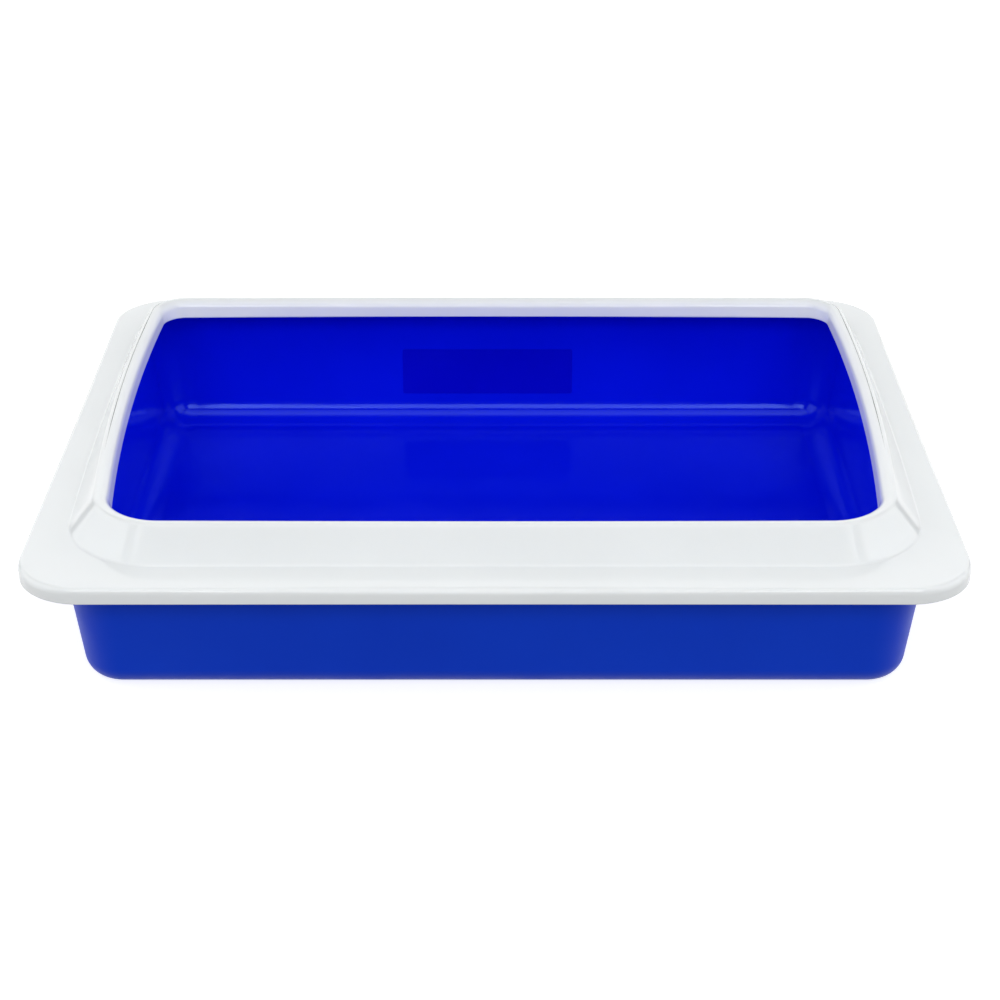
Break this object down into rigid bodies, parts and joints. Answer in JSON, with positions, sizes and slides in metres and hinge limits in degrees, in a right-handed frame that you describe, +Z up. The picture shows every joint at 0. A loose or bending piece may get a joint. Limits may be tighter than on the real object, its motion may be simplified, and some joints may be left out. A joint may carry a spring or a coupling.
{
  "type": "rimmed litter pan",
  "caption": "Shallow rectangular plastic pan with sloping walls and a separate lift-off rim whose raised ridge overhangs the inside.",
  "frame": {"origin": "middle of the tray's flat underside, on the surface the pan stands on", "axes": "+X along the pan's long side, -Y towards its front, +Z up out of the opening"},
  "size_m": [0.4826, 0.384, 0.0905],
  "materials": {
    "tray_plastic": "glossy inside, fine matte texture outside",
    "rim_plastic": "smooth satin gloss",
    "label_film": "plain blank film"
  },
  "bodies": {
    "tray": {"tray": "tray_plastic", "blank_label": "label_film"},
    "rim": {"rim": "rim_plastic"}
  },
  "joints": [
    {"name": "rim_lift", "type": "slide", "parent": "tray", "child": "rim", "axis": [0, 0, 1], "range_m": [0, 0.1]}
  ]
}
